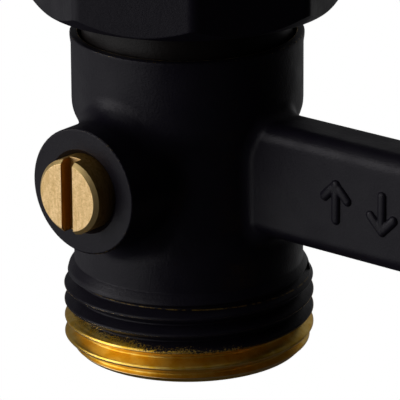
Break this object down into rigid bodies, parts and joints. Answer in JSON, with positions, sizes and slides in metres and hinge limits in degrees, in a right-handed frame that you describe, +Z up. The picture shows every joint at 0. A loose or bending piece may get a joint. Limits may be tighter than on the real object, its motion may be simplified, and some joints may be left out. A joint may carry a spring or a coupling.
{
  "type": "lockshield valve",
  "caption": "Straight twin lockshield valve for a panel radiator: two joined legs with union nuts above, male pipe threads below and slotted quarter-turn spindles in front.",
  "frame": {"origin": "centre of the left leg's lower pipe end, on the leg's axis", "axes": "+Z up the legs to the radiator, +X from the left leg to the right leg, spindles facing -Y"},
  "size_m": [0.0832, 0.0358, 0.052],
  "materials": {
    "body_black": "satin black paint on forged brass",
    "nut_black": "satin black paint",
    "neck_dark": "satin black, slightly brown",
    "spindle_brass": "turned",
    "ball_chrome": "polished",
    "seat_ptfe": "matt",
    "seal_rubber": "matt",
    "fibre_seal": "matt",
    "spring_steel": "drawn wire"
  },
  "bodies": {
    "housing": {"valve_body": "body_black", "left_tailpiece": "neck_dark", "left_radiator_gasket": "fibre_seal", "left_tailpiece_o_ring": "seal_rubber", "left_upper_ball_seat": "seat_ptfe", "left_lower_ball_seat": "seat_ptfe", "left_spindle_thrust_washer": "seat_ptfe", "right_tailpiece": "neck_dark", "right_radiator_gasket": "fibre_seal", "right_tailpiece_o_ring": "seal_rubber", "right_upper_ball_seat": "seat_ptfe", "right_lower_ball_seat": "seat_ptfe", "right_spindle_thrust_washer": "seat_ptfe"},
    "left_shutoff": {"left_ball": "ball_chrome", "left_spindle": "spindle_brass", "left_spindle_inner_o_ring": "seal_rubber", "left_spindle_outer_o_ring": "seal_rubber"},
    "left_nut_retainer": {"left_nut_snap_ring": "spring_steel"},
    "left_nut": {"left_union_nut": "nut_black"},
    "right_shutoff": {"right_ball": "ball_chrome", "right_spindle": "spindle_brass", "right_spindle_inner_o_ring": "seal_rubber", "right_spindle_outer_o_ring": "seal_rubber"},
    "right_nut_retainer": {"right_nut_snap_ring": "spring_steel"},
    "right_nut": {"right_union_nut": "nut_black"}
  },
  "joints": [
    {"name": "left_spindle_turn", "type": "hinge", "parent": "housing", "child": "left_shutoff", "pos_m": [0, -0.0167, 0.0213], "axis": [0, -1, 0], "range_deg": [-90, 0]},
    {"name": "left_nut_slip", "type": "slide", "parent": "housing", "child": "left_nut_retainer", "axis": [0, 0, 1], "range_m": [-0.0032, 0]},
    {"name": "left_nut_spin", "type": "hinge", "parent": "left_nut_retainer", "child": "left_nut", "pos_m": [0, 0, 0.0452], "axis": [0, 0, 1], "continuous": true},
    {"name": "right_spindle_turn", "type": "hinge", "parent": "housing", "child": "right_shutoff", "pos_m": [0.05, -0.0167, 0.0213], "axis": [0, -1, 0], "range_deg": [-90, 0]},
    {"name": "right_nut_slip", "type": "slide", "parent": "housing", "child": "right_nut_retainer", "axis": [0, 0, 1], "range_m": [-0.0032, 0]},
    {"name": "right_nut_spin", "type": "hinge", "parent": "right_nut_retainer", "child": "right_nut", "pos_m": [0.05, 0, 0.0452], "axis": [0, 0, 1], "continuous": true}
  ]
}
